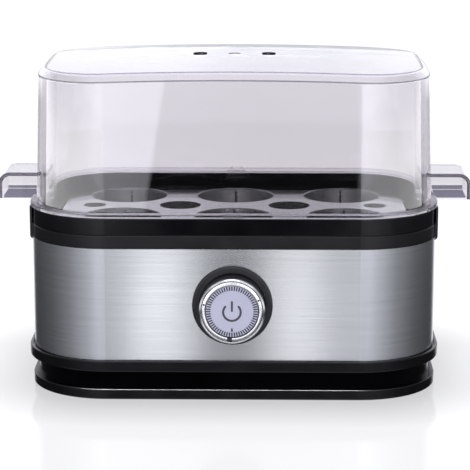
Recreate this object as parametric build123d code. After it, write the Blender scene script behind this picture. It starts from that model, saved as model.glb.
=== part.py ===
"""Electric egg cooker: steel-clad base with a turning dial and push button,
lift-out egg tray and transparent lift-off lid. Millimetres, +Z up, front at -Y."""
from build123d import *
import os

# ------------------------------------------------------------------ driving dimensions
Y_SHIFT = 6.05            # the body is centred on Y = 0 while modelling, then moved so the whole box is centred

SLEEVE_HW, SLEEVE_HD, SLEEVE_R = 105.3, 67.5, 40.5     # steel sleeve: half width, half depth, corner radius
SLEEVE_T = 0.6
SLEEVE_Z0, SLEEVE_Z1 = 21.0, 79.2

FOOT_OUT = 0.8            # foot rim beyond the sleeve
FOOT_Z0, FOOT_Z1 = 0.3, 5.8
COVER_FLOOR = 2.9
WAIST_IN = 2.3            # waist inside the sleeve
LIP_OUT = 2.4             # lower lip beyond the sleeve
LIP_Z0, LIP_Z1 = 15.0, 21.0

BAND_Z1 = 86.05           # top of the trim band, where the rim ring starts
RING_Z1 = 94.9            # top of the rim ring
RING_IN = 5.2             # inner face of the rim ring inside the sleeve
LEDGE_Z0, LEDGE_Z1 = 84.4, 86.4
PAN_IN = 11.2             # inner face of the pan inside the sleeve
PAN_T = 1.0
PAN_FLOOR_Z = 61.4
PAN_FLANGE_Z0, PAN_FLANGE_Z1 = 82.4, 83.4

LUG_OUT = 1.5             # end lugs beyond the sleeve
LUG_HALF = 33.0
LUG_GAP = 0.45            # slot between the rim ring and a lug
LUG_Z0, LUG_Z1 = 76.9, 94.7

LID_Z0 = 95.1
LID_FLANGE_OUT, LID_FLANGE_T = 1.1, 2.2
LID_WALL_IN0, LID_WALL_IN1 = 2.3, 4.4                  # wall inside the sleeve at the flange and at the top
LID_WALL = 2.2
LID_TOP_Z = 170.4
LID_CROWN_X, LID_CROWN_Y = 1882.0, 882.0               # crown radii of the top
LID_CHAMFER = 3.6
HANDLE_X0, HANDLE_X1, HANDLE_HY, HANDLE_Z1, HANDLE_T = 97.0, 125.0, 15.0, 108.7, 2.0
HANDLE_R, HANDLE_EDGE = 6.4, 1.0                       # grips: outer top corner, rounding of the front and rear outline
VENT_X, VENT_W, VENT_L = 18.1, 7.2, 14.0

TRAY_Z0, TRAY_Z1 = 86.65, 88.8
CUP_PITCH_X, CUP_Y = 58.3, 28.2
CUP_R, CUP_R_LOW, CUP_WALL = 20.5, 15.5, 1.6
CUP_Z0 = 71.0
CUP_RIM = 2.8             # flat rim around each cup at the tray's edge
BRIDGE_HY = 36.5          # half depth of the tray between the cups
TRAY_END_X, TRAY_EAR_X = 91.5, 97.2

KNOB_Z = 50.3
FRONT_Y = -SLEEVE_HD
COLLAR_R, COLLAR_RI = 20.5, 16.95
DIAL_R, DIAL_FRONT = 16.65, -82.0
CHROME_RI, CHROME_T = 13.5, 2.4
NOTCH_TURN = 5.0          # the mark stands this many degrees clockwise of six o'clock
CAP_R, CAP_FRONT = 13.2, -81.4
HUB_R, TUBE_R, PLUNGER_R = 7.2, 4.0, 2.5
PCB_Y0, PCB_Y1 = -47.6, -46.0

SCREW_XY = [(sx * 86.0, sy * 48.2) for sx in (-1, 1) for sy in (-1, 1)]
FOOT_XY = [(sx * 80.0, sy * 37.0) for sx in (-1, 1) for sy in (-1, 1)]
PAN_SCREW_XY = [(-55, -60.2), (55, -60.2), (-55, 60.2), (55, 60.2), (-98.0, 0), (98.0, 0)]
PCB_SCREW_XZ = [(-30, 26), (30, 26), (-30, 54), (30, 54)]
GLAND_X, GLAND_Z, GLAND_BORE_R = 55.0, 10.4, 3.4
SCREW_SEAT_Z, BOSS_Z, POST_Z = 13.0, 17.9, 18.0        # bottom screws: head seat, boss top, foot of the housing's posts


# ------------------------------------------------------------------ helpers
def plan(inset, z):
    """Rounded rectangle parallel to the sleeve's outline, moved inwards by inset, at height z."""
    return Plane.XY.offset(z) * RectangleRounded(
        2 * (SLEEVE_HW - inset), 2 * (SLEEVE_HD - inset), SLEEVE_R - inset)


def slab(inset, z0, z1):
    return extrude(plan(inset, z0), z1 - z0)


def wall(inset_out, inset_in, z0, z1):
    return slab(inset_out, z0, z1) - slab(inset_in, z0, z1)


def zrod(r, z0, z1, x=0.0, y=0.0):
    return extrude(Pos(x, y, z0) * Circle(r), z1 - z0)


def yrod(r, y0, y1, x=0.0, z=KNOB_Z):
    return extrude(Plane(origin=(x, y0, z), x_dir=(1, 0, 0), z_dir=(0, 1, 0)) * Circle(r), y1 - y0)


def ytube(ro, ri, y0, y1, x=0.0, z=KNOB_Z):
    return yrod(ro, y0, y1, x, z) - yrod(ri, y0, y1, x, z)


def block(x0, x1, y0, y1, z0, z1):
    return Pos((x0 + x1) / 2, (y0 + y1) / 2, (z0 + z1) / 2) * Box(x1 - x0, y1 - y0, z1 - z0)


def top_edges(s):
    return s.faces().sort_by(Axis.Z)[-1].edges()


def low_edges(s):
    return s.faces().sort_by(Axis.Z)[0].edges()


def front_edges(s):
    return s.faces().sort_by(Axis.Y)[0].edges()


def wire_run(points, radius, r):
    path = FilletPolyline(*points, radius=radius)
    return sweep(Plane(origin=path @ 0, z_dir=path % 0) * Circle(r), path)


def group(shapes):
    """Several separate solids of one kind."""
    return Compound([solid for shape in shapes for solid in shape.solids()])


parts = {}

# ------------------------------------------------------------------ bottom cover and feet
cover = slab(-FOOT_OUT, FOOT_Z0, FOOT_Z1)
cover = fillet(low_edges(cover), 1.0)
cover = fillet(top_edges(cover), 0.5)
cover += slab(WAIST_IN, FOOT_Z1 - 0.5, LIP_Z0 - 0.05)
cover -= slab(4.6, FOOT_Z0 + COVER_FLOOR, LIP_Z0)
for x, y in SCREW_XY:
    cover += zrod(4.6, FOOT_Z0 + COVER_FLOOR - 0.5, BOSS_Z, x, y)
for x, y in SCREW_XY:
    cover -= zrod(3.3, FOOT_Z0, SCREW_SEAT_Z, x, y)
    cover -= zrod(1.6, SCREW_SEAT_Z, BOSS_Z, x, y)
for x, y in FOOT_XY:
    cover -= zrod(6.5, FOOT_Z0, 1.8, x, y)
    cover -= zrod(2.5, 1.8, 4.0, x, y)
for i in range(-4, 5):
    cover -= extrude(Pos(i * 7.0, 0, 0) * Rot(0, 0, 90) * SlotOverall(30, 2.6), 6.0)
# the gland's neck drops into a slot that is open at the top
cover -= yrod(4.4, 60.0, 68.0, GLAND_X, GLAND_Z)
cover -= block(GLAND_X - 4.4, GLAND_X + 4.4, 60.0, 66.0, GLAND_Z, LIP_Z0 + 1)
parts["bottom_cover"] = cover

feet = []
for x, y in FOOT_XY:
    pad = fillet(low_edges(zrod(6.4, 0, 1.8, x, y)), 0.5)
    feet.append(pad + zrod(2.4, 1.8, 3.2, x, y) + zrod(3.5, 3.2, 4.6, x, y))
parts["rubber_feet"] = group(feet)

# ------------------------------------------------------------------ main housing behind the steel
lip = slab(-LIP_OUT, LIP_Z0, LIP_Z1)
lip = fillet(low_edges(lip), 1.3)
lip = fillet(top_edges(lip), 0.5)
lip -= wall(-0.9, 0.05, LIP_Z1 - 1.2, LIP_Z1)            # shadow groove along the foot of the steel
housing = lip + slab(0.7, LIP_Z1 - 1, SLEEVE_Z1)
housing -= slab(4.5, LIP_Z0, 18.0)
housing -= slab(3.2, 18.0, SLEEVE_Z1)
for x, y in SCREW_XY:
    sx, sy = (1 if x > 0 else -1), (1 if y > 0 else -1)
    post = zrod(4.5, POST_Z, 50.0, x, y)
    rib = Pos(x + sx * 2.9, y + sy * 2.9, (POST_Z + 50.0) / 2) * Rot(0, 0, 45 * sx * sy) * Box(8.4, 3.0, 50.0 - POST_Z)
    housing += post + (rib & slab(2.5, POST_Z, 50.0))
for x, y in SCREW_XY:
    housing -= zrod(1.5, POST_Z, 32.0, x, y)
for x, z in PCB_SCREW_XZ:
    housing += yrod(3.2, -65.5, PCB_Y0, x, z)
for x, z in PCB_SCREW_XZ:
    housing -= yrod(1.25, -57.0, PCB_Y0, x, z)
housing -= yrod(19.0, -72.0, -62.0)
parts["main_housing"] = housing

sleeve = wall(0.0, SLEEVE_T, SLEEVE_Z0 + 0.05, SLEEVE_Z1 - 0.05)
sleeve -= yrod(19.2, -72.0, -62.0)
parts["steel_sleeve"] = sleeve

gland = ytube(4.3, GLAND_BORE_R, 60.6, 66.8, GLAND_X, GLAND_Z)
gland += ytube(4.55, GLAND_BORE_R, 61.0, 62.85, GLAND_X, GLAND_Z)
gland += ytube(4.55, GLAND_BORE_R, 65.25, 66.8, GLAND_X, GLAND_Z)
parts["cord_gland"] = gland

# ------------------------------------------------------------------ top housing, rim ring, pan
band = slab(0.0, SLEEVE_Z1, BAND_Z1)
band = fillet(low_edges(band), 0.3)
band = fillet(top_edges(band), 0.4)
band -= slab(3.2, SLEEVE_Z1, BAND_Z1)
band += wall(3.0, 9.0, 80.4, PAN_FLANGE_Z0)
band += wall(3.4, 4.6, 75.0, 81.0)
lugs = slab(-LUG_OUT, LUG_Z0, LUG_Z1)
lugs = fillet(low_edges(lugs), 2.2)
lugs = fillet(top_edges(lugs), 0.9)
lugs = lugs & (block(100, 120, -LUG_HALF, LUG_HALF, 70, 100) + block(-120, -100, -LUG_HALF, LUG_HALF, 70, 100))
lugs -= slab(-0.15, LUG_Z0, SLEEVE_Z1)                   # hangs a little over the steel
lugs -= slab(0.6, SLEEVE_Z1, BAND_Z1 - 0.5)
lugs -= slab(-LUG_GAP, BAND_Z1 - 0.5, LUG_Z1)
top = band + lugs
for x, y in PAN_SCREW_XY:
    top -= zrod(1.5, 80.0, 83.0, x, y)
parts["top_housing"] = top

ring = slab(0.2, BAND_Z1, RING_Z1)
ring = fillet(low_edges(ring), 0.4)
ring = fillet(top_edges(ring), 0.6)
ring += slab(3.4, LEDGE_Z0, LEDGE_Z1)
ring -= slab(RING_IN, LEDGE_Z1, RING_Z1)
ring -= slab(PAN_IN, LEDGE_Z0, LEDGE_Z1)
for x, y in PAN_SCREW_XY:
    ring -= zrod(1.4, LEDGE_Z0, 86.1, x, y)
parts["rim_ring"] = ring

pan = fillet(low_edges(slab(PAN_IN - PAN_T, PAN_FLOOR_Z, PAN_FLANGE_Z1)), 7.0)
pan += slab(3.8, PAN_FLANGE_Z0, PAN_FLANGE_Z1)
pan -= fillet(low_edges(slab(PAN_IN, PAN_FLOOR_Z + 1.2, PAN_FLANGE_Z1)), 6.0)
for x, y in PAN_SCREW_XY:
    pan -= zrod(1.5, 82.0, 84.0, x, y)
parts["boiling_pan"] = pan

gasket = wall(4.7, PAN_IN - 0.6, PAN_FLANGE_Z1, LEDGE_Z0)
for x, y in PAN_SCREW_XY:
    gasket -= zrod(1.5, PAN_FLANGE_Z1, LEDGE_Z0, x, y)
parts["pan_gasket"] = gasket

# ------------------------------------------------------------------ heater, thermostat, fuse
HEAT_Z = PAN_FLOOR_Z - 3.2
parts["heating_element"] = wire_run(
    [(10, 30, 46), (10, 30, HEAT_Z), (60, 30, HEAT_Z), (60, -30, HEAT_Z),
     (-60, -30, HEAT_Z), (-60, 30, HEAT_Z), (-10, 30, HEAT_Z), (-10, 30, 46)],
    [7, 22, 22, 22, 22, 7], 3.2)

thermostat = zrod(8.0, 55.0, PAN_FLOOR_Z) + zrod(10.0, 59.8, PAN_FLOOR_Z)
thermostat += block(-5.5, -4.5, -3, 3, 47.0, 55.0) + block(4.5, 5.5, -3, 3, 47.0, 55.0)
parts["thermostat"] = thermostat

fuse_plane = Plane(origin=(-9, 18, PAN_FLOOR_Z - 2.3), x_dir=(0, 1, 0), z_dir=(1, 0, 0))
fuse = extrude(fuse_plane * Circle(2.3), 18)
fuse += extrude(fuse_plane.offset(-9) * Circle(0.6), 36)
parts["thermal_fuse"] = fuse

# ------------------------------------------------------------------ control board and what sits on it
pcb = block(-38, 38, PCB_Y0, PCB_Y1, 22, 58)
for x, z in PCB_SCREW_XZ:
    pcb -= yrod(1.6, PCB_Y0, PCB_Y1, x, z)
parts["control_pcb"] = pcb
parts["dial_pot"] = ytube(10.6, 7.5, -52.4, PCB_Y0)
parts["tact_switch"] = block(-3, 3, -49.4, PCB_Y0, KNOB_Z - 3, KNOB_Z + 3) + yrod(1.6, -50.0, -49.4)
parts["buzzer"] = yrod(6.0, PCB_Y1, -39.5, 22, 36) - yrod(1.2, -41.0, -39.5, 22, 36)
relay = block(-26, -8, PCB_Y1, -31, 28, 40)
parts["relay"] = fillet(relay.edges().filter_by(Axis.Y), 0.8)
parts["terminal_block"] = block(40, 64, 40, 52, 3.2, 13.2) - zrod(2.0, 11.7, 13.2, 58, 43) - zrod(2.0, 11.7, 13.2, 46, 43)

# bearing post: a cup over the switch and a tube that the dial turns on
bearing = ytube(5.8, 4.4, -57.0, PCB_Y0) + ytube(5.8, PLUNGER_R + 0.05, -57.0, -56.0)
bearing += ytube(TUBE_R, PLUNGER_R + 0.05, -72.8, -56.5)
parts["dial_bearing"] = bearing

leads = [
    wire_run([(46, 48, 13.2), (46, 48, 30), (10, 30, 36), (10, 30, 46)], [5, 5], 1.1),
    wire_run([(58, 48, 13.2), (58, 48, 22), (-10, 30, 30), (-10, 30, 46)], [4, 5], 1.1),
]
parts["heater_leads"] = group(leads)

# ------------------------------------------------------------------ dial collar
collar = yrod(COLLAR_R, -69.5, FRONT_Y)
collar = fillet(front_edges(collar), 0.9)
collar += yrod(18.9, FRONT_Y, -62.5)
collar -= yrod(COLLAR_RI, -69.5, -62.5)
parts["knob_collar"] = collar
parts["collar_lock_ring"] = ytube(22.0, 18.9, -64.3, -62.9)

# ------------------------------------------------------------------ dial
dial = yrod(DIAL_R, DIAL_FRONT + CHROME_T, -62.2) + yrod(18.4, -62.2, -60.7)
dial -= yrod(13.7, DIAL_FRONT + CHROME_T, -72.5)
dial -= ytube(14.6, HUB_R, -70.0, -60.7)
dial += yrod(HUB_R, -71.0, -48.2)
dial -= yrod(TUBE_R + 0.06, -72.5, -57.0)
dial -= yrod(6.1, -57.3, -48.2)
parts["dial_knob"] = dial

chrome = yrod(DIAL_R, DIAL_FRONT, DIAL_FRONT + CHROME_T)
chrome = fillet(front_edges(chrome), 0.7)
chrome -= yrod(CHROME_RI, DIAL_FRONT, DIAL_FRONT + CHROME_T)
notch = block(-1.45, 1.45, DIAL_FRONT - 1, DIAL_FRONT + 1.2, KNOB_Z - DIAL_R - 1, KNOB_Z - CHROME_RI - 0.5)
notch = Pos(0, 0, KNOB_Z) * Rot(0, NOTCH_TURN, 0) * Pos(0, 0, -KNOB_Z) * notch
pointer = chrome & notch
parts["dial_chrome_ring"] = chrome - notch
parts["dial_pointer"] = pointer

# ------------------------------------------------------------------ power button with plunger, spring and clip
cap = yrod(CAP_R, CAP_FRONT, -79.0)
cap = fillet(front_edges(cap), 0.4)
cap += ytube(CAP_R, 11.6, -79.5, -75.2)
cap += yrod(PLUNGER_R, -79.5, -52.1)
parts["power_button"] = cap
parts["button_clip"] = ytube(3.9, PLUNGER_R, -55.7, -55.0)

SPRING_Y0, SPRING_Y1 = -79.0, -72.8
WIRE = 0.35
coil = Helix(pitch=1.1, height=SPRING_Y1 - SPRING_Y0 - 2 * WIRE, radius=3.4)
turns = sweep(Plane(origin=coil @ 0, z_dir=coil % 0) * Circle(WIRE), coil, is_frenet=True)
parts["button_spring"] = Pos(0, SPRING_Y0 + WIRE, KNOB_Z) * Rot(-90, 0, 0) * turns

# ------------------------------------------------------------------ screws
parts["bottom_screws"] = group([
    zrod(3.2, SCREW_SEAT_Z - 1.6, SCREW_SEAT_Z, x, y) + zrod(1.5, SCREW_SEAT_Z, 31.0, x, y)
    - (Pos(x, y, SCREW_SEAT_Z - 1.4) * Box(4.0, 0.8, 0.8)) for x, y in SCREW_XY])
parts["pan_screws"] = group([
    zrod(2.4, 79.2, 80.4, x, y) + zrod(1.4, 80.4, 86.0, x, y) for x, y in PAN_SCREW_XY])
parts["pcb_screws"] = group([
    yrod(2.4, PCB_Y1, -44.6, x, z) + yrod(1.25, -55.0, PCB_Y1, x, z) for x, z in PCB_SCREW_XZ])


# ------------------------------------------------------------------ lid
def crown(z_top):
    """Solid below the doubly crowned top surface."""
    xs = [-130, -78, -26, 26, 78, 130]
    ys = [-95, -57, -19, 19, 57, 95]
    net = [[Vector(x, y, z_top - x * x / (2 * LID_CROWN_X) - y * y / (2 * LID_CROWN_Y)) for y in ys] for x in xs]
    return extrude(Face.make_surface_from_array_of_points(net), 110, (0, 0, -1))


def dome(extra, z0, z_top, cham):
    """Drafted wall closed by the crowned top; extra moves it inwards."""
    z_a, z_b = LID_Z0 + LID_FLANGE_T, 168.0
    slope = (LID_WALL_IN1 - LID_WALL_IN0) / (z_b - z_a)
    z1 = LID_TOP_Z + 3
    a = LID_WALL_IN0 + extra + slope * (z0 - z_a)
    b = LID_WALL_IN0 + extra + slope * (z1 - z_a)
    body = loft([plan(a, z0), plan(b, z1)], ruled=True)
    body = body & crown(z_top)
    body = body.solids()[0] if hasattr(body, "solids") else body
    return chamfer(top_edges(body), cham)


lid = dome(0.0, LID_Z0, LID_TOP_Z, LID_CHAMFER)
flange = slab(-LID_FLANGE_OUT, LID_Z0, LID_Z0 + LID_FLANGE_T)
flange = fillet(top_edges(flange), 0.7)
flange = fillet(low_edges(flange), 0.4)
grips, hollows = [], []
for s in (-1, 1):
    grip = block(*sorted((s * HANDLE_X0, s * HANDLE_X1)), -HANDLE_HY, HANDLE_HY, LID_Z0, HANDLE_Z1)
    corner = grip.edges().filter_by(Axis.Y).sort_by(lambda e: s * e.center().X + e.center().Z)[-1]
    grip = fillet(corner, HANDLE_R)
    ends = grip.faces().sort_by(Axis.Y)
    rim = [e for f in (ends[0], ends[-1]) for e in f.edges() if e.center().Z > LID_Z0 + 0.1 and abs(e.center().X) > HANDLE_X0 + 1]
    grips.append(fillet(rim, HANDLE_EDGE))
    core = block(*sorted((s * (SLEEVE_HW - 2.0), s * (HANDLE_X1 - HANDLE_T))), -(HANDLE_HY - HANDLE_T), HANDLE_HY - HANDLE_T,
                 LID_Z0 - 0.5, HANDLE_Z1 - HANDLE_T)
    corner = core.edges().filter_by(Axis.Y).sort_by(lambda e: s * e.center().X + e.center().Z)[-1]
    hollows.append(fillet(corner, HANDLE_R - HANDLE_T))
vents = [extrude(Pos(s * VENT_X, 0, 160) * Rot(0, 0, 90) * SlotOverall(VENT_L, VENT_W), 20) for s in (-1, 1)]
gate = zrod(3.3, LID_TOP_Z - 0.3, LID_TOP_Z + 1)
cavity = dome(LID_WALL, LID_Z0, LID_TOP_Z - LID_WALL, LID_CHAMFER - 0.9)
tabs = []
for s in (-1, 1):
    tab = block(-5, 5, *sorted((s * 60.4, s * 62.0)), 92.8, 96.6)
    tab += block(-5, 5, *sorted((s * 60.4, s * 64.0)), 95.3, 96.6)
    for r in (-2.6, 2.6):
        tab += block(r - 0.5, r + 0.5, *sorted((s * 60.4, s * 64.0)), 96.0, 98.6)
    tabs.append(tab)
    tab = block(*sorted((s * (SLEEVE_HW - 7.1), s * (SLEEVE_HW - 5.5))), -5, 5, 92.8, 96.6)
    tabs.append(tab + block(*sorted((s * (SLEEVE_HW - 7.1), s * (SLEEVE_HW - 3.4))), -5, 5, 95.3, 96.6))
lid = lid + [flange] + grips
lid = lid - ([cavity, gate] + hollows + vents)
lid = lid + tabs
parts["lid"] = lid

# ------------------------------------------------------------------ egg tray
cups = [(i * CUP_PITCH_X, s * CUP_Y) for i in (-1, 0, 1) for s in (-1, 1)]
outline = Rectangle(2 * 80, 2 * BRIDGE_HY) + Rectangle(2 * TRAY_END_X, 2 * 24)
for x, y in cups:
    outline += Pos(x, y) * Circle(CUP_R + CUP_RIM)
for sx in (-1, 1):
    for sy in (-1, 1):
        outline += Pos(sx * (TRAY_EAR_X - 14), sy * 29.0) * RectangleRounded(28.0, 16.0, 3.0)
outline = offset(offset(outline, 3.0), -3.0)
plate = extrude(Plane.XY.offset(TRAY_Z0) * outline, TRAY_Z1 - TRAY_Z0)
cone_drop = (CUP_R - CUP_R_LOW) / (TRAY_Z1 - CUP_Z0)
tray = plate
for x, y in cups:
    tray += Pos(x, y, (CUP_Z0 + TRAY_Z1) / 2) * Cone(CUP_R_LOW + CUP_WALL, CUP_R + CUP_WALL, TRAY_Z1 - CUP_Z0)
for x, y in cups:
    z_low = CUP_Z0 + CUP_WALL
    r_low = CUP_R_LOW + cone_drop * CUP_WALL
    z_up = TRAY_Z1 + 1.0
    r_up = CUP_R + cone_drop * 1.0
    tray -= Pos(x, y, (z_low + z_up) / 2) * Cone(r_low, r_up, z_up - z_low)
    tray -= zrod(9.0, CUP_Z0 - 1, CUP_Z0 + 3, x, y)
    half = [(0.6, 87.4), (0.6, 79.5), (2.0, 77.5), (2.0, 75.5)]
    slit = Polyline(*half, *[(-u, w) for u, w in reversed(half)], close=True)
    blade = extrude(Plane(origin=(x, y, 0), x_dir=(1, 0, 0), z_dir=(0, -1, 0)) * make_face(slit), 26, both=True)
    tray -= blade - zrod(10.5, CUP_Z0 - 2, 86, x, y)
    blade = extrude(Plane(origin=(x, y, 0), x_dir=(0, 1, 0), z_dir=(1, 0, 0)) * make_face(slit), 26, both=True)
    tray -= blade - zrod(10.5, CUP_Z0 - 2, 86, x, y)
for s in (-1, 1):
    tray -= zrod(11.0, TRAY_Z0 - 1, TRAY_Z1 + 1, s * CUP_PITCH_X / 2, 0)
    tray -= zrod(6.1, TRAY_Z0 - 1, TRAY_Z1 + 1, s * 75.3, 0)
mouths = [e for e in tray.edges().filter_by(GeomType.CIRCLE) if abs(e.center().Z - TRAY_Z1) < 0.01 and abs(e.radius - CUP_R) < 0.1]
tray = fillet(mouths, 0.7)
parts["egg_tray"] = tray

# ------------------------------------------------------------------ write
os.makedirs("parts", exist_ok=True)
for name, shape in parts.items():
    export_step(Pos(0, Y_SHIFT, 0) * shape, f"parts/{name}.step")
print(len(parts), "nodes")
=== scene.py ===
import math
import bpy
import bmesh
from mathutils import Vector, Matrix


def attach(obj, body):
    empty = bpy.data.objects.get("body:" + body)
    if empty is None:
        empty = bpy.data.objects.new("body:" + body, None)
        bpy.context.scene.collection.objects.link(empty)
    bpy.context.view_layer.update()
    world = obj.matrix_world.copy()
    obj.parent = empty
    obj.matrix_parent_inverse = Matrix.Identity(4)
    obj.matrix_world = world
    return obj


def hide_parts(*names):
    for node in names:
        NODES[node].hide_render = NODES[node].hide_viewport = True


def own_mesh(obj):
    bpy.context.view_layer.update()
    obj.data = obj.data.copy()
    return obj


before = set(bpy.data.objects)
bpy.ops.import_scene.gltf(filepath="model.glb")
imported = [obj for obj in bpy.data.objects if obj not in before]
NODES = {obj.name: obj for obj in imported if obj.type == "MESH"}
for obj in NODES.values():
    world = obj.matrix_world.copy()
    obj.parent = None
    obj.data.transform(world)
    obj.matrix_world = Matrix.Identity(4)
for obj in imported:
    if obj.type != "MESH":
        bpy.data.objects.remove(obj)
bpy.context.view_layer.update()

MM = 0.001
YS = 6.05                      # the body's middle lies this far behind the frame's origin
KNOB_X, KNOB_Z = 0.0, 50.3
YAW = 0.95                     # the photo is taken this many degrees to the right of the front


# ------------------------------------------------------------------ node helpers
class Mat:
    """A small wrapper that builds one procedural material."""

    def __init__(self, name):
        self.m = bpy.data.materials.new(name)
        self.m.use_nodes = True
        self.nt = self.m.node_tree
        self.bsdf = self.nt.nodes["Principled BSDF"]
        self.out = self.nt.nodes["Material Output"]
        self.co = self.nt.nodes.new("ShaderNodeTexCoord")

    def set(self, **kw):
        for k, v in kw.items():
            self.bsdf.inputs[k.replace("_", " ")].default_value = v
        return self

    def link(self, a, b):
        self.nt.links.new(a, b)

    def node(self, kind, **kw):
        n = self.nt.nodes.new(kind)
        for k, v in kw.items():
            setattr(n, k, v)
        return n

    def mapping(self, scale, loc=(0, 0, 0), rot=(0, 0, 0)):
        mp = self.node("ShaderNodeMapping")
        mp.inputs["Scale"].default_value = scale
        mp.inputs["Location"].default_value = loc
        mp.inputs["Rotation"].default_value = rot
        self.link(self.co.outputs["Object"], mp.inputs["Vector"])
        return mp.outputs["Vector"]

    def noise(self, scale, stretch=(1, 1, 1), detail=4, rough=0.5, loc=(0, 0, 0)):
        n = self.node("ShaderNodeTexNoise")
        n.inputs["Scale"].default_value = scale
        n.inputs["Detail"].default_value = detail
        n.inputs["Roughness"].default_value = rough
        self.link(self.mapping(stretch, loc), n.inputs["Vector"])
        return n.outputs["Fac"]

    def ramp(self, fac, stops):
        r = self.node("ShaderNodeValToRGB")
        els = r.color_ramp.elements
        while len(els) > len(stops):
            els.remove(els[-1])
        while len(els) < len(stops):
            els.new(0.5)
        for e, (p, c) in zip(els, stops):
            e.position = p
            e.color = (c, c, c, 1) if isinstance(c, (int, float)) else (*c, 1)
        self.link(fac, r.inputs["Fac"])
        return r.outputs["Color"]

    def value_range(self, fac, lo, hi, f0=0.3, f1=0.7):
        r = self.node("ShaderNodeMapRange")
        r.inputs["From Min"].default_value = f0
        r.inputs["From Max"].default_value = f1
        r.inputs["To Min"].default_value = lo
        r.inputs["To Max"].default_value = hi
        self.link(fac, r.inputs["Value"])
        return r.outputs["Result"]

    def bump(self, fac, strength, dist):
        b = self.node("ShaderNodeBump")
        b.inputs["Strength"].default_value = strength
        b.inputs["Distance"].default_value = dist
        self.link(fac, b.inputs["Height"])
        if self.bsdf.inputs["Normal"].is_linked:
            self.link(self.bsdf.inputs["Normal"].links[0].from_socket, b.inputs["Normal"])
        self.link(b.outputs["Normal"], self.bsdf.inputs["Normal"])
        return self

    def color(self, fac, stops):
        self.link(self.ramp(fac, stops), self.bsdf.inputs["Base Color"])
        return self

    def rough(self, fac, lo, hi):
        self.link(self.value_range(fac, lo, hi), self.bsdf.inputs["Roughness"])
        return self


# ------------------------------------------------------------------ materials
def plastic(name, dark, light, r0, r1, grain=2600, grain_strength=0.12, spec=0.5):
    m = Mat(name)
    m.color(m.noise(38, detail=3), [(0.35, dark), (0.65, light)])
    m.rough(m.noise(90, detail=4, loc=(3, 1, 2)), r0, r1)
    m.bump(m.noise(grain, detail=2), grain_strength, 0.00003)
    m.set(Specular_IOR_Level=spec)
    return m


M = {}
M["satin_black"] = plastic("satin_black", (0.0024, 0.0025, 0.0032), (0.0036, 0.0037, 0.0046), 0.19, 0.25, spec=0.34)
M["collar_black"] = plastic("collar_black", (0.006, 0.006, 0.0092), (0.009, 0.009, 0.0135), 0.26, 0.34, 3000, 0.15, spec=0.5)

w = plastic("foot_black", (0.0010, 0.0010, 0.0014), (0.0018, 0.0018, 0.0024), 0.19, 0.25, 2600, 0.03, spec=0.42)
# painted shade: above the foot's top edge (z 5.6 to 5.8 mm) the reflections are tinted down to 2 %, darkening the
# ledge and the waist under the lip
wz = w.node("ShaderNodeSeparateXYZ")
w.link(w.co.outputs["Object"], wz.inputs[0])
w.link(w.ramp(w.value_range(wz.outputs[2], 0.0, 1.0, 0.00560, 0.00578), [(0.0, 1.0), (1.0, 0.02)]), w.bsdf.inputs["Specular Tint"])
M["foot_black"] = w

g = Mat("gloss_black")
g.color(g.noise(30, detail=3), [(0.35, (0.0018, 0.0018, 0.0028)), (0.65, (0.0028, 0.0028, 0.0042))])
g.rough(g.noise(70, detail=3), 0.07, 0.12)
g.bump(g.noise(160, detail=2), 0.04, 0.00008)
M["gloss_black"] = g

g = Mat("band_black")
g.color(g.noise(36, detail=3), [(0.35, (0.0034, 0.0034, 0.0044)), (0.65, (0.0048, 0.0048, 0.006))])
g.rough(g.noise(90, detail=3), 0.22, 0.28)
g.set(Specular_IOR_Level=0.36)
g.bump(g.noise(2400, detail=2), 0.08, 0.00003)
M["band_black"] = g

g = Mat("tray_black")
g.color(g.noise(40, detail=3), [(0.35, (0.006, 0.006, 0.007)), (0.65, (0.009, 0.009, 0.0105))])
g.rough(g.noise(120, detail=3), 0.10, 0.16)
g.bump(g.noise(300, detail=2), 0.03, 0.00006)
g.set(Specular_IOR_Level=0.95, Coat_Weight=1.0, Coat_Roughness=0.09, Coat_IOR=1.5)
M["tray_black"] = g

g = Mat("pan_black")
g.color(g.noise(700, detail=4), [(0.38, (0.003, 0.003, 0.0033)), (0.62, (0.006, 0.006, 0.0066))])
g.rough(g.noise(60, detail=3), 0.4, 0.52)
g.set(Specular_IOR_Level=0.06)
g.bump(g.noise(1500, detail=3), 0.2, 0.00005)
M["pan_black"] = g

# brushed sheet steel: fine lines that run round the sleeve
s = Mat("brushed_steel")
fine = s.noise(1.0, stretch=(14, 14, 2400), detail=2, rough=0.5)
mid = s.noise(1.0, stretch=(22, 22, 900), detail=3, rough=0.5, loc=(1.3, 0.4, 7))
wide = s.noise(1.0, stretch=(16, 16, 10), detail=2, loc=(0.2, 2.1, 0.3))
mix = s.node("ShaderNodeMath", operation="MULTIPLY_ADD")
s.link(mid, mix.inputs[0])
mix.inputs[1].default_value = 0.55
s.link(fine, mix.inputs[2])
norm = s.node("ShaderNodeMath", operation="MULTIPLY")
s.link(mix.outputs[0], norm.inputs[0])
norm.inputs[1].default_value = 0.645
s.color(norm.outputs[0], [(0.30, (0.420, 0.430, 0.449)), (0.5, (0.455, 0.465, 0.484)), (0.70, (0.490, 0.500, 0.519))])
s.rough(wide, 0.24, 0.27)
s.bump(norm.outputs[0], 0.045, 0.00004)
s.set(Metallic=1.0, Anisotropic=0.9, Anisotropic_Rotation=0.25)
tan = s.node("ShaderNodeTangent", direction_type="RADIAL", axis="Z")
s.link(tan.outputs["Tangent"], s.bsdf.inputs["Tangent"])
M["brushed_steel"] = s

c = Mat("chrome")
c.color(c.noise(60, detail=2), [(0.3, (0.80, 0.80, 0.82)), (0.7, (0.86, 0.86, 0.885))])
c.rough(c.noise(150, detail=2), 0.17, 0.2)
c.set(Metallic=1.0)
M["chrome"] = c

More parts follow.
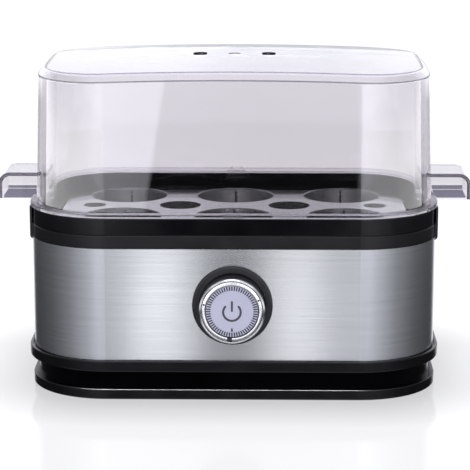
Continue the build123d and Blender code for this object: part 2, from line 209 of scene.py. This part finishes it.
b = Mat("button_grey")
b.color(b.noise(1.0, stretch=(90, 90, 90), detail=3), [(0.3, (0.535, 0.535, 0.67)), (0.7, (0.575, 0.575, 0.71))])
b.rough(b.noise(800, detail=3), 0.32, 0.42)
b.bump(b.noise(3200, detail=2), 0.1, 0.00002)
M["button_grey"] = b
M["print_dark"] = plastic("print_dark", (0.012, 0.012, 0.015), (0.02, 0.02, 0.024), 0.4, 0.5, 3000, 0.05)
M["print_grey"] = plastic("print_grey", (0.055, 0.055, 0.07), (0.07, 0.07, 0.088), 0.4, 0.5, 3000, 0.05)

# transparent lid: a light smoke tint that deepens along the edges
l = Mat("smoke_clear")
l.color(l.noise(14, detail=2), [(0.3, (0.98, 0.967, 0.98)), (0.7, (0.99, 0.977, 0.99))])
l.set(Transmission_Weight=1.0, IOR=1.5, Emission_Color=(0.86, 0.90, 0.87, 1))
l.rough(l.noise(25, detail=2), 0.0, 0.012)
ab = l.node("ShaderNodeVolumeAbsorption")
ab.inputs["Color"].default_value = (0.48, 0.45, 0.52, 1)
ab.inputs["Density"].default_value = 140.0
l.link(ab.outputs["Volume"], l.out.inputs["Volume"])
# painted glow: where a reflected ray meets the inside of the lid, the lid glows in the pale emission colour set above,
# weakly below 150 mm and strongly above 162 mm, lifting the dark lines along its edges
lpath = l.node("ShaderNodeLightPath")
geo = l.node("ShaderNodeNewGeometry")
piped = l.node("ShaderNodeMath", operation="MULTIPLY")
l.link(lpath.outputs["Is Reflection Ray"], piped.inputs[0])
l.link(geo.outputs["Backfacing"], piped.inputs[1])
painted_glow = l.node("ShaderNodeMath", operation="MULTIPLY")
l.link(piped.outputs[0], painted_glow.inputs[0])
lz = l.node("ShaderNodeSeparateXYZ")
l.link(l.co.outputs["Object"], lz.inputs[0])
l.link(l.value_range(lz.outputs[2], 0.05, 0.62, 0.150, 0.162), painted_glow.inputs[1])
l.link(painted_glow.outputs[0], l.bsdf.inputs["Emission Strength"])
M["smoke_clear"] = l

# painted shade: two dark see-through materials for the thin bands that paint the shade lines along the lid's upper
# edges
q = Mat("painted_edge_shade")
q.color(q.noise(120, detail=3), [(0.3, (0.075, 0.062, 0.085)), (0.7, (0.11, 0.094, 0.122))])
q.rough(q.noise(200, detail=2), 0.15, 0.25)
q.set(Alpha=0.42, IOR=1.5)
M["painted_edge_shade"] = q
q = Mat("painted_edge_shade_pale")
q.color(q.noise(120, detail=3), [(0.3, (0.10, 0.085, 0.11)), (0.7, (0.14, 0.12, 0.15))])
q.rough(q.noise(200, detail=2), 0.2, 0.3)
q.set(Alpha=0.30, IOR=1.5)
M["painted_edge_shade_pale"] = q

r = Mat("rubber")
r.color(r.noise(300, detail=4), [(0.35, (0.008, 0.008, 0.008)), (0.65, (0.016, 0.016, 0.016))])
r.rough(r.noise(200, detail=3), 0.6, 0.8)
r.bump(r.noise(1800, detail=3), 0.3, 0.00006)
M["rubber"] = r

si = Mat("silicone")
si.color(si.noise(90, detail=3), [(0.3, (0.30, 0.28, 0.26)), (0.7, (0.38, 0.36, 0.33))])
si.rough(si.noise(200), 0.45, 0.6)
M["silicone"] = si

z = Mat("plated_steel")
z.color(z.noise(500, detail=4), [(0.3, (0.42, 0.42, 0.43)), (0.7, (0.56, 0.56, 0.57))])
z.rough(z.noise(700, detail=3), 0.22, 0.36)
z.set(Metallic=1.0)
M["plated_steel"] = z

e = Mat("element_steel")
e.color(e.noise(140, detail=5), [(0.3, (0.26, 0.24, 0.21)), (0.7, (0.42, 0.40, 0.37))])
e.rough(e.noise(300, detail=3), 0.35, 0.5)
e.set(Metallic=1.0)
M["element_steel"] = e

p = Mat("board_green")
p.color(p.noise(900, detail=5), [(0.42, (0.008, 0.06, 0.02)), (0.58, (0.02, 0.11, 0.045))])
p.rough(p.noise(300), 0.28, 0.4)
M["board_green"] = p
M["component_black"] = plastic("component_black", (0.012, 0.012, 0.013), (0.02, 0.02, 0.021), 0.4, 0.55, 2000, 0.2)
M["component_light"] = plastic("component_light", (0.52, 0.49, 0.43), (0.62, 0.6, 0.54), 0.45, 0.6, 1600, 0.2)
M["wire_red"] = plastic("wire_red", (0.16, 0.012, 0.01), (0.24, 0.02, 0.016), 0.4, 0.55, 1500, 0.2)

FINISH = {
    "satin_black": ["main_housing"],
    "foot_black": ["bottom_cover"],
    "collar_black": ["knob_collar", "dial_knob"],
    "gloss_black": ["rim_ring"],
    "band_black": ["top_housing"],
    "tray_black": ["egg_tray"],
    "pan_black": ["boiling_pan"],
    "brushed_steel": ["steel_sleeve"],
    "chrome": ["dial_chrome_ring"],
    "print_dark": ["dial_pointer"],
    "button_grey": ["power_button"],
    "smoke_clear": ["lid"],
    "rubber": ["rubber_feet", "cord_gland"],
    "silicone": ["pan_gasket"],
    "plated_steel": ["button_spring", "button_clip", "bottom_screws", "pan_screws", "pcb_screws"],
    "element_steel": ["heating_element"],
    "board_green": ["control_pcb"],
    "component_black": ["dial_pot", "tact_switch", "buzzer", "relay", "dial_bearing", "collar_lock_ring"],
    "component_light": ["thermostat", "thermal_fuse", "terminal_block"],
    "wire_red": ["heater_leads"],
}
for finish, names in FINISH.items():
    for name in names:
        o = NODES[name]
        o.data.materials.clear()
        o.data.materials.append(M[finish].m)


# ------------------------------------------------------------------ mesh helpers
def make(name, verts, faces, material, body, smooth=True):
    me = bpy.data.meshes.new(name)
    me.from_pydata([(x * MM, y * MM, z * MM) for x, y, z in verts], [], faces)
    me.validate()
    bm = bmesh.new()
    bm.from_mesh(me)
    bmesh.ops.recalc_face_normals(bm, faces=bm.faces)
    bm.to_mesh(me)
    bm.free()
    for poly in me.polygons:
        poly.use_smooth = smooth
    o = bpy.data.objects.new(name, me)
    bpy.context.scene.collection.objects.link(o)
    me.materials.append(material.m)
    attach(o, body)
    return o


def disc_print(name, polys, y0, y1, material, body):
    """Closed thin prisms from closed outlines in the dial's face plane (u right, w up), y0 in front of y1."""
    verts, faces = [], []
    for pts in polys:
        n = len(pts)
        k = len(verts)
        verts += [(KNOB_X + u, y0 + YS, KNOB_Z + w) for u, w in pts]
        verts += [(KNOB_X + u, y1 + YS, KNOB_Z + w) for u, w in pts]
        faces.append(tuple(range(k, k + n)))
        faces.append(tuple(range(k + 2 * n - 1, k + n - 1, -1)))
        for i in range(n):
            j = (i + 1) % n
            faces.append((k + i, k + n + i, k + n + j, k + j))
    return make(name, verts, faces, material, body, smooth=False)


# ------------------------------------------------------------------ marks on the button
ticks = []
N_TICK = 60
for i in range(N_TICK):
    a = 2 * math.pi * i / N_TICK
    r0, r1, hw = 10.8, 13.0, 0.33
    ca, sa = math.sin(a), math.cos(a)
    ticks.append([(r0 * ca - hw * sa, r0 * sa + hw * ca), (r0 * ca + hw * sa, r0 * sa - hw * ca),
                  (r1 * ca + hw * sa, r1 * sa - hw * ca), (r1 * ca - hw * sa, r1 * sa + hw * ca)])
ticks.append([(-0.5, -10.3), (0.5, -10.3), (0.36, -8.9), (0.0, -8.2), (-0.36, -8.9)])
disc_print("button_ticks", ticks, -81.44, -81.36, M["print_dark"], "power_button")

ring = []
r_in, r_out, gap = 3.85, 4.95, math.radians(44)
steps = 40
outer = [(r_out * math.sin(gap + (2 * math.pi - 2 * gap) * i / steps), r_out * math.cos(gap + (2 * math.pi - 2 * gap) * i / steps)) for i in range(steps + 1)]
inner = [(r_in * math.sin(gap + (2 * math.pi - 2 * gap) * i / steps), r_in * math.cos(gap + (2 * math.pi - 2 * gap) * i / steps)) for i in range(steps + 1)]
quads = [[outer[i], outer[i + 1], inner[i + 1], inner[i]] for i in range(steps)]


def power_mark():
    """Open ring and bar as one closed thin mesh each."""
    verts, faces = [], []
    loop = outer + inner[::-1]
    n = len(loop)
    for y in (-81.44, -81.36):
        verts += [(KNOB_X + u, y + YS, KNOB_Z - 0.3 + w) for u, w in loop]
    m = len(outer)
    for base in (0, n):
        for i in range(m - 1):
            a, b_, c_, d = base + i, base + i + 1, base + n - 2 - i, base + n - 1 - i
            faces.append((a, b_, c_, d) if base == 0 else (d, c_, b_, a))
    for i in range(n):
        j = (i + 1) % n
        faces.append((i, n + i, n + j, j))
    k = len(verts)
    bar = [(-0.52, 0.3), (0.52, 0.3), (0.52, 5.4), (0.3, 5.75), (-0.3, 5.75), (-0.52, 5.4)]
    nb = len(bar)
    for y in (-81.44, -81.36):
        verts += [(KNOB_X + u, y + YS, KNOB_Z - 0.3 + w) for u, w in bar]
    faces.append(tuple(range(k, k + nb)))
    faces.append(tuple(range(k + 2 * nb - 1, k + nb - 1, -1)))
    for i in range(nb):
        j = (i + 1) % nb
        faces.append((k + i, k + nb + i, k + nb + j, k + j))
    make("button_power_mark", verts, faces, M["print_grey"], "power_button", smooth=False)


power_mark()

# ------------------------------------------------------------------ chrome ring with its groove and notch
def lathe(name, profile, material, body, segments=144, skip=None):
    """Closed profile (r, y) turned about the dial's axis; skip(a) leaves segments out, with end walls."""
    n = len(profile)
    verts, faces = [], []
    keep = [not (skip and skip(2 * math.pi * (i + 0.5) / segments)) for i in range(segments)]
    for i in range(segments):
        a = 2 * math.pi * i / segments
        verts += [(KNOB_X + r_ * math.sin(a), y_ + YS, KNOB_Z + r_ * math.cos(a)) for r_, y_ in profile]
    for i in range(segments):
        if not keep[i]:
            continue
        j = (i + 1) % segments
        for k in range(n):
            m = (k + 1) % n
            faces.append((i * n + k, i * n + m, j * n + m, j * n + k))
        if not keep[i - 1]:
            faces.append(tuple(i * n + k for k in range(n)))
        if not keep[j]:
            faces.append(tuple(j * n + k for k in reversed(range(n))))
    o = make(name, verts, faces, material, body)
    es = o.modifiers.new("crisp", "EDGE_SPLIT")
    es.split_angle = math.radians(32)
    return o


def arc(cr, cy, rad_, a0, a1, k=5):
    return [(cr + rad_ * math.cos(math.radians(a0 + (a1 - a0) * i / k)), cy + rad_ * math.sin(math.radians(a0 + (a1 - a0) * i / k))) for i in range(k + 1)]


# profile runs from the outer rear edge round the front to the inner rear edge
bevel_profile = [(16.65, -79.6), (16.65, -80.95)] + arc(16.45, -81.05, 0.2, 10, -60, 3) + [(15.78, -81.70), (15.70, -81.68), (15.64, -79.6)]
face_profile = [(15.36, -79.6), (15.32, -81.74)] + arc(15.12, -81.74, 0.2, -5, -85, 4) + [(13.9, -81.94)] + arc(13.9, -81.64, 0.3, -95, -180, 4) + [(13.6, -79.6)]
MARK = math.radians(185)
ring_obj = lathe("dial_chrome", face_profile, M["chrome"], "dial", segments=180,
                 skip=lambda a: abs(a - MARK) < math.radians(5.1))
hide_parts("dial_chrome_ring")
bevel_obj = lathe("dial_chrome_bevel", bevel_profile, M["chrome"], "dial", segments=180)
mark = [(r_ * math.sin(MARK + d_), r_ * math.cos(MARK + d_)) for r_, d_ in
        ((13.62, -0.086), (15.3, -0.086), (15.33, -0.03), (15.33, 0.03), (15.3, 0.086), (13.62, 0.086), (13.6, 0.0))]
mark_obj = disc_print("dial_mark", [mark], -81.45, -80.0, M["print_dark"], "dial")
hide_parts("dial_pointer")
dots = []
for ang, rd in ((-75.5, 14.6), (66.2, 14.65)):
    a = math.radians(ang)
    cx_, cz_ = rd * math.sin(a), rd * math.cos(a)
    dots.append([(cx_ + 0.56 * math.cos(2 * math.pi * i / 16), cz_ + 0.56 * math.sin(2 * math.pi * i / 16)) for i in range(16)])
disc_print("dial_dots", dots, -81.99, -81.4, M["print_dark"], "dial")

# ------------------------------------------------------------------ painted shade line under the lid's chamfer
def lid_outline(inset, steps=14):
    """Rounded rectangle parallel to the body's outline, as points with outward directions."""
    hw, hd, rad_ = 105.3 - inset, 67.5 - inset, 40.5 - inset
    pts = []
    for sx, sy, a0 in ((1, 1, 0), (-1, 1, 90), (-1, -1, 180), (1, -1, 270)):
        for i in range(steps + 1):
            a = math.radians(a0 + 90 * i / steps)
            pts.append((sx * (hw - rad_) + rad_ * math.cos(a), sy * (hd - rad_) + rad_ * math.sin(a), math.cos(a), math.sin(a)))
    full = []
    for i, (x, y, nx, ny) in enumerate(pts):
        full.append((x, y, nx, ny))
        x2, y2, nx2, ny2 = pts[(i + 1) % len(pts)]
        gap_ = math.hypot(x2 - x, y2 - y)
        for k in range(1, int(gap_ / 9)):
            t = k / int(gap_ / 9)
            full.append((x + (x2 - x) * t, y + (y2 - y) * t, nx, ny))
    return full


def lid_shade_line(name, drop, half, proud, deep):
    """Closed dark see-through band along the lid's upper edge, drop below the crowned top, that paints the shade line
    along that edge.
    """
    section = [(proud, 0.6 * half), (0.5 * proud, half), (-deep, half), (-deep, -half), (0.5 * proud, -half), (proud, -0.6 * half)]
    n = len(section)
    loop = lid_outline(4.3)
    verts, faces = [], []
    for x, y, nx, ny in loop:
        z = 170.4 - x * x / (2 * 1882.0) - y * y / (2 * 882.0) - drop
        shift = 4.3 - (2.3 + (4.4 - 2.3) / (168.0 - 97.3) * (z - 97.3))
        for out_, up in section:
            d = out_ + shift - up * 0.0297
            verts.append((x + nx * d, y + ny * d + YS, z + up))
    for i in range(len(loop)):
        j = (i + 1) % len(loop)
        for k in range(n):
            m = (k + 1) % n
            faces.append((i * n + k, j * n + k, j * n + m, i * n + m))
    return make(name, verts, faces, M["painted_edge_shade"], "lid")


lid_shade_line("lid_chamfer_shade_line", 3.75, 0.34, 0.05, 0.25)


def lid_top_shade_line(name, rad_, sink):
    """Thin dark see-through bead along the front and sides of the lid's top, where the crown turns into the chamfer,
    that paints the soft shade line there.
    """
    path_ = [q_ for q_ in lid_outline(7.96) if q_[1] < 25]
    n = 8
    verts, faces = [], []
    for x, y, nx, ny in path_:
        z = 170.4 - x * x / (2 * 1882.0) - y * y / (2 * 882.0)
        for k in range(n):
            a = 2 * math.pi * k / n
            d = rad_ * math.cos(a) - sink * 0.38
            verts.append((x + nx * d, y + ny * d + YS, z + rad_ * math.sin(a) - sink * 0.92))
    m = len(path_)
    for i in range(m - 1):
        for k in range(n):
            k2 = (k + 1) % n
            faces.append((i * n + k, (i + 1) * n + k, (i + 1) * n + k2, i * n + k2))
    faces.append(tuple(range(n)))
    faces.append(tuple((m - 1) * n + k for k in reversed(range(n))))
    return make(name, verts, faces, M["painted_edge_shade_pale"], "lid")


lid_top_shade_line("lid_top_shade_line", 0.36, 0.26)


def button_coil(name, r, wire, pitch, y0, y1):
    """The button's return spring, coiled between the button and the bearing."""
    rings, n = 32, 10
    turns = (y1 - y0 - 2 * wire) / pitch
    m = int(rings * turns) + 1
    rise = pitch / (2 * math.pi)
    ln = math.hypot(r, rise)
    verts, faces = [], []
    for i in range(m):
        t = 2 * math.pi * turns * i / (m - 1)
        c, d = math.cos(t), math.sin(t)
        for k in range(n):
            a = 2 * math.pi * k / n
            u, v = wire * math.cos(a), wire * math.sin(a)
            px = (r + u) * c + v * rise / ln * d
            pz = (r + u) * d - v * rise / ln * c
            verts.append((px, y0 + wire + rise * t + v * r / ln, 50.3 - pz))
    for i in range(m - 1):
        for k in range(n):
            k2 = (k + 1) % n
            faces.append((i * n + k, (i + 1) * n + k, (i + 1) * n + k2, i * n + k2))
    faces.append(tuple(range(n)))
    faces.append(tuple((m - 1) * n + k for k in reversed(range(n))))
    o = make(name, verts, faces, M["plated_steel"], "power_button")
    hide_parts("button_spring")
    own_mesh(o)
    return o


button_coil("button_coil", 3.4, 0.35, 1.1, -72.95, -66.75)

# ------------------------------------------------------------------ floor
f = Mat("floor_white")
f.color(f.noise(3, detail=2), [(0.3, (0.20, 0.20, 0.203)), (0.7, (0.22, 0.22, 0.223))])
f.rough(f.noise(6, detail=2), 0.5, 0.6)
f.set(Specular_IOR_Level=0.0, Emission_Color=(1, 1, 1, 1))


def fmath(op, a, b=None):
    n = f.node("ShaderNodeMath", operation=op)
    for i, v in enumerate((a, b)):
        if isinstance(v, (int, float)):
            n.inputs[i].default_value = v
        elif v is not None:
            f.link(v, n.inputs[i])
    return n.outputs[0]


# painted shade: the floor's glow falls from 0.90 at 46 mm from the body's footprint to 0.60 at 4 mm, standing in for
# the dark body's reflection and contact shadow on the floor
fs = f.node("ShaderNodeSeparateXYZ")
f.link(f.co.outputs["Object"], fs.inputs[0])
dx = fmath("MAXIMUM", fmath("SUBTRACT", fmath("ABSOLUTE", fs.outputs[0]), 0.0648), 0.0)
dy = fmath("MAXIMUM", fmath("SUBTRACT", fmath("ABSOLUTE", fmath("SUBTRACT", fs.outputs[1], YS * MM)), 0.027), 0.0)
dist = fmath("SUBTRACT", fmath("SQRT", fmath("ADD", fmath("MULTIPLY", dx, dx), fmath("MULTIPLY", dy, dy))), 0.0413)
glow = f.node("ShaderNodeMapRange")
glow.inputs["From Min"].default_value = 0.004
glow.inputs["From Max"].default_value = 0.046
glow.inputs["To Min"].default_value = 0.60
glow.inputs["To Max"].default_value = 0.90
f.link(dist, glow.inputs["Value"])
f.link(glow.outputs["Result"], f.bsdf.inputs["Emission Strength"])
sheen = f.node("ShaderNodeBsdfGlossy")
sheen.inputs["Roughness"].default_value = 0.1
sheen.inputs["Color"].default_value = (1, 1, 1, 1)
polish = f.node("ShaderNodeMixShader")
polish.inputs[0].default_value = 0.13
f.link(f.bsdf.outputs[0], polish.inputs[1])
f.link(sheen.outputs[0], polish.inputs[2])
# shown directly and through the lid; the dark plastic mirrors the dim surroundings below instead of the floor
path = f.node("ShaderNodeLightPath")
thru = f.node("ShaderNodeMath", operation="GREATER_THAN")
f.link(path.outputs["Transmission Depth"], thru.inputs[0])
thru.inputs[1].default_value = 0.5
seen = f.node("ShaderNodeMath", operation="MAXIMUM")
f.link(path.outputs["Is Camera Ray"], seen.inputs[0])
f.link(thru.outputs[0], seen.inputs[1])
lit = f.node("ShaderNodeMath", operation="SUBTRACT", use_clamp=True)
f.link(seen.outputs[0], lit.inputs[0])
f.link(path.outputs["Is Shadow Ray"], lit.inputs[1])
clear = f.node("ShaderNodeBsdfTransparent")
pick = f.node("ShaderNodeMixShader")
f.link(lit.outputs[0], pick.inputs[0])
f.link(clear.outputs[0], pick.inputs[1])
f.link(polish.outputs[0], pick.inputs[2])
f.link(pick.outputs[0], f.out.inputs["Surface"])
fm = bpy.data.meshes.new("floor")
fm.from_pydata([(-2.0, -0.9, 0), (2.0, -0.9, 0), (2.0, 2.4, 0), (-2.0, 2.4, 0)], [], [(0, 1, 2, 3)])
floor = bpy.data.objects.new("floor", fm)
bpy.context.scene.collection.objects.link(floor)
fm.materials.append(f.m)

# two small grey cards lying far behind, seen only through the clear grips
k = Mat("card_grey")
kz = k.node("ShaderNodeSeparateXYZ")
k.link(k.co.outputs["Object"], kz.inputs[0])
k.link(k.ramp(k.value_range(kz.outputs[1], 0.0, 1.0, 0.468, 0.521), [(0.0, (0.20, 0.195, 0.27)), (0.8, (0.15, 0.145, 0.21)), (1.0, (0.08, 0.075, 0.11))]), k.bsdf.inputs["Emission Color"])
k.color(k.noise(30, detail=2), [(0.3, (0.01, 0.01, 0.01)), (0.7, (0.012, 0.012, 0.012))])
k.set(Emission_Strength=1.0, Specular_IOR_Level=0.0)
km = bpy.data.meshes.new("grip_cards")
kv, kf = [], []
for s_ in (-1, 1):
    kf.append(tuple(range(len(kv), len(kv) + 4)))
    kv += [(s_ * 0.1535, 0.468, 0.002), (s_ * 0.1785, 0.468, 0.002), (s_ * 0.1826, 0.521, 0.002), (s_ * 0.157, 0.521, 0.002)]
km.from_pydata(kv, [], kf)
cards = bpy.data.objects.new("grip_cards", km)
bpy.context.scene.collection.objects.link(cards)
km.materials.append(k.m)
cards.location = (0, YS * MM, 0)
cards.rotation_euler = (0, 0, math.radians(YAW))
cards.visible_camera = cards.visible_diffuse = cards.visible_glossy = cards.visible_shadow = False
# a white cover low over each card, so that it only shows at the photograph's height and not through the lid from above
k = Mat("card_cover_white")
k.color(k.noise(30, detail=2), [(0.3, (0.01, 0.01, 0.01)), (0.7, (0.012, 0.012, 0.012))])
k.bsdf.inputs["Emission Color"].default_value = (1, 1, 1, 1)
k.set(Emission_Strength=0.97, Specular_IOR_Level=0.0)
km = bpy.data.meshes.new("grip_card_covers")
kv, kf = [], []
for s_ in (-1, 1):
    kf.append(tuple(range(len(kv), len(kv) + 4)))
    kv += [(s_ * 0.095, 0.316, 0.042), (s_ * 0.225, 0.316, 0.042), (s_ * 0.240, 0.545, 0.042), (s_ * 0.110, 0.545, 0.042)]
km.from_pydata(kv, [], kf)
covers = bpy.data.objects.new("grip_card_covers", km)
bpy.context.scene.collection.objects.link(covers)
km.materials.append(k.m)
covers.location = (0, YS * MM, 0)
covers.rotation_euler = (0, 0, math.radians(YAW))
covers.visible_camera = covers.visible_diffuse = covers.visible_glossy = covers.visible_shadow = False

# ------------------------------------------------------------------ studio surroundings
scene = bpy.context.scene
world = bpy.data.worlds.new("studio")
scene.world = world
world.use_nodes = True
nt = world.node_tree
for n in list(nt.nodes):
    nt.nodes.remove(n)


def W(kind, **kw):
    n = nt.nodes.new(kind)
    for k, v in kw.items():
        setattr(n, k, v)
    return n


def wmath(op, a, b=None, clamp=False):
    n = W("ShaderNodeMath", operation=op, use_clamp=clamp)
    for i, v in enumerate((a, b)):
        if v is None:
            continue
        if isinstance(v, (int, float)):
            n.inputs[i].default_value = v
        else:
            nt.links.new(v, n.inputs[i])
    return n.outputs[0]


def wstep(v, lo, hi, a=0.0, b=1.0):
    n = W("ShaderNodeMapRange", interpolation_type="SMOOTHSTEP")
    n.inputs["From Min"].default_value = lo
    n.inputs["From Max"].default_value = hi
    n.inputs["To Min"].default_value = a
    n.inputs["To Max"].default_value = b
    nt.links.new(v, n.inputs["Value"])
    return n.outputs["Result"]


def wramp(v, stops, top):
    """Piecewise-linear curve over v, stops as (v, brightness)."""
    r = W("ShaderNodeValToRGB")
    els = r.color_ramp.elements
    while len(els) < len(stops):
        els.new(0.5)
    for e_, (pos, val) in zip(els, stops):
        e_.position = pos / top
        e_.color = (val, val, val, 1)
    nt.links.new(wmath("DIVIDE", v, top), r.inputs["Fac"])
    return r.outputs["Color"]


tc = W("ShaderNodeTexCoord")
sep = W("ShaderNodeSeparateXYZ")
nt.links.new(tc.outputs["Generated"], sep.inputs[0])
X, Y, Z = sep.outputs
DEG = 180 / math.pi
azim = wmath("ADD", wmath("MULTIPLY", wmath("ARCTAN2", X, wmath("MULTIPLY", Y, -1.0)), DEG), YAW)      # 0 where the front mirrors the camera, + right
elev = wmath("MULTIPLY", wmath("ARCSINE", Z), DEG)
aabs = wmath("ABSOLUTE", azim)

# two wide soft panels beside the camera, with a dark gap between them
edge = wmath("ADD", wmath("MULTIPLY", elev, 0.16), -1.97 + 0.16 * 4.4)
edge = wmath("MAXIMUM", wmath("MINIMUM", edge, -0.9), -4.0)
left = wstep(wmath("SUBTRACT", azim, edge), 0.06, -0.14)
right = wstep(azim, 3.45, 3.8)
panel = wmath("MULTIPLY", wmath("MAXIMUM", left, right),
              wramp(aabs, [(0, 0.6), (2.6, 0.64), (3.8, 0.82), (14, 0.92), (28, 0.62), (58, 0.29), (94, 0.14), (125, 0.08), (180, 0.03)], 180.0))
low = wmath("ADD", wmath("MULTIPLY", wstep(elev, -15.0, -11.5), 0.15), wmath("MULTIPLY", wstep(elev, -11.5, -9.0), 0.85))
panel = wmath("MULTIPLY", panel, low)
panel = wmath("MULTIPLY", panel, wstep(elev, 25, 50, 1.0, 0.35))
panel = wmath("MULTIPLY", panel, wmath("MAXIMUM", wstep(elev, 6, 10, 1.0, 0.4), wstep(elev, 28, 34, 0.0, 1.0)))
panel = wmath("MULTIPLY", panel, wstep(azim, 10, 30, 3.3, 3.9))
# dim light from below in front
under = wmath("MULTIPLY", wstep(elev, -24, -36, 0.0, 0.7), wstep(aabs, 100, 60))
# a strip high above the camera, and the ceiling
strip = wmath("MULTIPLY", wstep(aabs, 40, 25), wmath("MULTIPLY", wstep(elev, 52, 56), wstep(elev, 78, 72)))
strip = wmath("MULTIPLY", strip, 2.5)
# backdrop behind the object, and a soft ceiling
back = wmath("MULTIPLY", wstep(aabs, 120, 140), wmath("MULTIPLY", wstep(elev, 0, 3), wstep(elev, 60, 40, 0.6, 1.10)))
back = wmath("MULTIPLY", back, wstep(aabs, 179, 175.5, 0.84, 1.02))
ceiling = wstep(elev, 55, 75, 0.0, 1.2)
panel = wmath("MAXIMUM", panel, under)
rear_low = wmath("MULTIPLY", wmath("MULTIPLY", wstep(aabs, 146, 166, 0.0, 1.3), wstep(aabs, 178, 170, 0.45, 1.0)), wstep(elev, -40, -26))
panel = wmath("MAXIMUM", panel, wmath("MULTIPLY", rear_low, wstep(elev, 4, 0)))
rad = wmath("MAXIMUM", wmath("MAXIMUM", wmath("MAXIMUM", panel, strip), wmath("MAXIMUM", back, ceiling)), 0.03)
bg_light = W("ShaderNodeBackground")
nt.links.new(rad, bg_light.inputs["Strength"])
bg_light.inputs["Color"].default_value = (0.955, 0.97, 1.03, 1)
bg_view = W("ShaderNodeBackground")
bg_view.inputs["Color"].default_value = (1, 1, 1, 1)
bg_view.inputs["Strength"].default_value = 1.0
lp = W("ShaderNodeLightPath")
mixw = W("ShaderNodeMixShader")
nt.links.new(lp.outputs["Is Camera Ray"], mixw.inputs[0])
nt.links.new(bg_light.outputs[0], mixw.inputs[1])
nt.links.new(bg_view.outputs[0], mixw.inputs[2])
wo = W("ShaderNodeOutputWorld")
nt.links.new(mixw.outputs[0], wo.inputs["Surface"])
world.cycles.sampling_method = "MANUAL"
world.cycles.sample_map_resolution = 2048

# narrow reflector strips low in front, seen only in the brushed steel, and one seen only in the chrome
on_steel = bpy.data.collections.new("on_steel")
on_steel.objects.link(NODES["steel_sleeve"])
on_chrome = bpy.data.collections.new("on_chrome")
on_chrome.objects.link(ring_obj)
on_chrome.objects.link(bevel_obj)
on_lid = bpy.data.collections.new("on_lid")
on_lid.objects.link(NODES["lid"])
on_foot = bpy.data.collections.new("on_foot")
on_foot.objects.link(NODES["bottom_cover"])
for name, cx, wd, power, lit_by in (("strip_left", -0.057, 0.044, 4.3, on_steel), ("strip_right", 0.038, 0.042, 4.4, on_steel),
                                    ("strip_end", 0.086, 0.030, 1.7, on_steel), ("chrome_fill", -0.014, 0.130, 1.1, on_chrome)):
    sd = bpy.data.lights.new(name, "AREA")
    sd.shape = "RECTANGLE"
    sd.size, sd.size_y = wd, 0.084
    sd.energy = power * math.pi * wd * 0.084
    so = bpy.data.objects.new(name, sd)
    so.location = (cx, -0.46, -0.05)
    so.rotation_euler = Vector((0, 1, 0)).to_track_quat("-Z", "Z").to_euler()
    so.visible_camera = False
    so.visible_diffuse = False
    so.visible_transmission = False
    so.light_linking.receiver_collection = lit_by
    scene.collection.objects.link(so)

# large side lamps seen only in the lid's rounded ends, fading upwards and towards the front
for name, side, power in (("veil_left", -1, 4.4), ("veil_right", 1, 3.6)):
    sd = bpy.data.lights.new(name, "AREA")
    sd.shape = "RECTANGLE"
    sd.size, sd.size_y = 1.9, 0.7
    sd.energy = power * math.pi * 1.9 * 0.7
    sd.use_nodes = True
    lt = sd.node_tree
    em = lt.nodes["Emission"]
    gm = lt.nodes.new("ShaderNodeNewGeometry")
    pu = lt.nodes.new("ShaderNodeSeparateXYZ")
    lt.links.new(gm.outputs["Parametric"], pu.inputs[0])
    across = lt.nodes.new("ShaderNodeMapRange")
    lt.links.new(pu.outputs[0], across.inputs["Value"])
    a_, b_ = (0.98, 0.45) if side < 0 else (0.02, 0.55)
    across.inputs["From Min"].default_value = a_
    across.inputs["From Max"].default_value = b_
    across.inputs["To Min"].default_value = 0.15
    across.inputs["To Max"].default_value = 1.0
    upward = lt.nodes.new("ShaderNodeMapRange")
    upward.interpolation_type = "SMOOTHSTEP"
    lt.links.new(pu.outputs[1], upward.inputs["Value"])
    upward.inputs["From Min"].default_value = 1.0
    upward.inputs["From Max"].default_value = 0.86
    both = lt.nodes.new("ShaderNodeMath")
    both.operation = "MULTIPLY"
    lt.links.new(across.outputs["Result"], both.inputs[0])
    lt.links.new(upward.outputs["Result"], both.inputs[1])
    lt.links.new(both.outputs[0], em.inputs["Strength"])
    so = bpy.data.objects.new(name, sd)
    az = math.radians(62) * side
    aim = Vector((-math.sin(az), math.cos(az), 0))
    so.location = Vector((0, YS * MM, -0.24)) - aim * 0.8
    so.rotation_euler = aim.to_track_quat("-Z", "Y").to_euler()
    so.visible_camera = so.visible_diffuse = so.visible_transmission = False
    so.light_linking.receiver_collection = on_lid
    scene.collection.objects.link(so)

# a long lamp high in front that draws the thin bright line along the foot's upper edge
ed = bpy.data.lights.new("edge_lamp", "AREA")
ed.shape = "RECTANGLE"
ed.size, ed.size_y = 0.9, 0.12
ed.energy = 200.0 * math.pi * 0.9 * 0.12
eo = bpy.data.objects.new("edge_lamp", ed)
eo.location = (-0.22, -0.75, 0.78)
eo.rotation_euler = Vector((0.12, 0.69, -0.77)).to_track_quat("-Z", "Y").to_euler()
eo.visible_camera = eo.visible_transmission = eo.visible_diffuse = False
eo.light_linking.receiver_collection = on_foot
scene.collection.objects.link(eo)

# ------------------------------------------------------------------ camera
cd = bpy.data.cameras.new("camera")
cd.sensor_width = 36.0
cd.lens = 154.6
cd.clip_start = 0.05
cam = bpy.data.objects.new("camera", cd)
yaw = math.radians(YAW)
cam.location = (0.0002 + 1.063 * math.sin(yaw), YS * MM - 1.063 * math.cos(yaw), 0.2992)
cam.rotation_euler = (math.radians(90 - 12.05), 0, yaw)
scene.collection.objects.link(cam)
scene.camera = cam

scene.view_settings.view_transform = "Standard"
scene.cycles.use_denoising = True
scene.cycles.max_bounces = 24
scene.cycles.transmission_bounces = 20
scene.cycles.transparent_max_bounces = 20
scene.cycles.glossy_bounces = 8
scene.cycles.diffuse_bounces = 5
